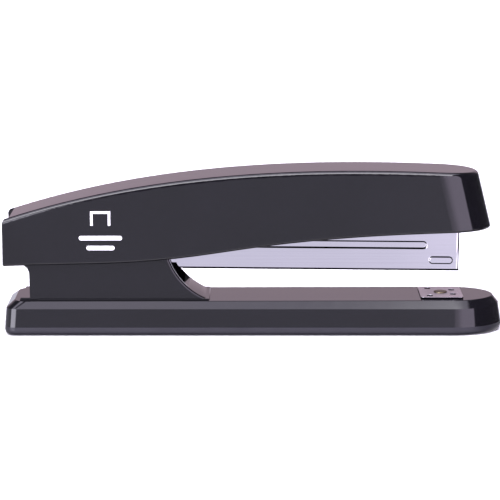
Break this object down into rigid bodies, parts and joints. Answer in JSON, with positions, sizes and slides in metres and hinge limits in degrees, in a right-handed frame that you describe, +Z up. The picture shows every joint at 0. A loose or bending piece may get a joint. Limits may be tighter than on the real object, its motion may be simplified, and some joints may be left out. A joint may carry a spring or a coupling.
{
  "type": "desktop stapler",
  "caption": "Full-strip desktop stapler with a domed handle, plated staple channel, rotary anvil and long base on a soft sole.",
  "frame": {"origin": "middle of the length and width, on the resting face under the sole", "axes": "+X along the stapler towards the nose, +Y across it, +Z up"},
  "size_m": [0.2, 0.036, 0.0659],
  "materials": {
    "black_gloss": "glossy moulded black plastic",
    "sole_grey": "satin dark grey rubber",
    "chrome": "bright plated sheet steel",
    "zinc_steel": "zinc plated sheet steel",
    "spring_steel": "bright spring steel",
    "anvil_steel": "pressed steel, lightly brushed",
    "brass": "brass plated rivet",
    "inner_plastic": "matte black plastic"
  },
  "bodies": {
    "base": {"base_shell": "black_gloss", "base_sole": "sole_grey", "base_plate": "zinc_steel", "hinge_tower": "black_gloss", "deck_screws": "zinc_steel", "hinge_pin": "zinc_steel", "hinge_pin_clip": "spring_steel", "lift_spring": "spring_steel", "anvil_spring": "spring_steel"},
    "magazine": {"magazine_channel": "chrome", "staple_rail": "zinc_steel", "rail_rivets": "zinc_steel", "guide_rod": "zinc_steel", "rod_block": "inner_plastic", "pusher_spring": "spring_steel", "hinge_sleeve": "zinc_steel"},
    "pusher": {"pusher": "spring_steel"},
    "handle": {"handle_cover": "black_gloss", "handle_frame": "zinc_steel", "cover_screws": "zinc_steel", "driver_blade": "spring_steel", "driver_rivets": "zinc_steel", "return_spring": "spring_steel", "return_rivets": "zinc_steel"},
    "anvil_lifter": {"anvil_button": "inner_plastic"},
    "anvil": {"anvil_plate": "anvil_steel", "anvil_stud": "brass", "anvil_clip": "spring_steel"}
  },
  "joints": [
    {"name": "magazine_hinge", "type": "hinge", "parent": "base", "child": "magazine", "pos_m": [-0.088, 0, 0.038], "axis": [0, -1, 0], "range_deg": [-3.1, 62], "stiffness_Nm_per_rad": 4, "springref_deg": 2.06, "deforming": ["lift_spring"]},
    {"name": "handle_hinge", "type": "hinge", "parent": "magazine", "child": "handle", "pos_m": [-0.088, 0, 0.038], "axis": [0, -1, 0], "range_deg": [-3.1, 45], "stiffness_Nm_per_rad": 4, "springref_deg": 1.15, "deforming": ["return_spring"]},
    {"name": "pusher_slide", "type": "slide", "parent": "magazine", "child": "pusher", "axis": [-1, 0, 0.0091], "range_m": [0, 0.1], "stiffness_N_per_m": 20, "springref_m": -0.03, "deforming": ["pusher_spring"]},
    {"name": "anvil_lift", "type": "slide", "parent": "base", "child": "anvil_lifter", "axis": [0, 0, 1], "range_m": [0, 0.0025], "stiffness_N_per_m": 250, "springref_m": -0.003, "deforming": ["anvil_spring"]},
    {"name": "anvil_turn", "type": "hinge", "parent": "anvil_lifter", "child": "anvil", "pos_m": [0.0755, 0, 0.0145], "axis": [0, 0, 1], "range_deg": [0, 180]}
  ]
}
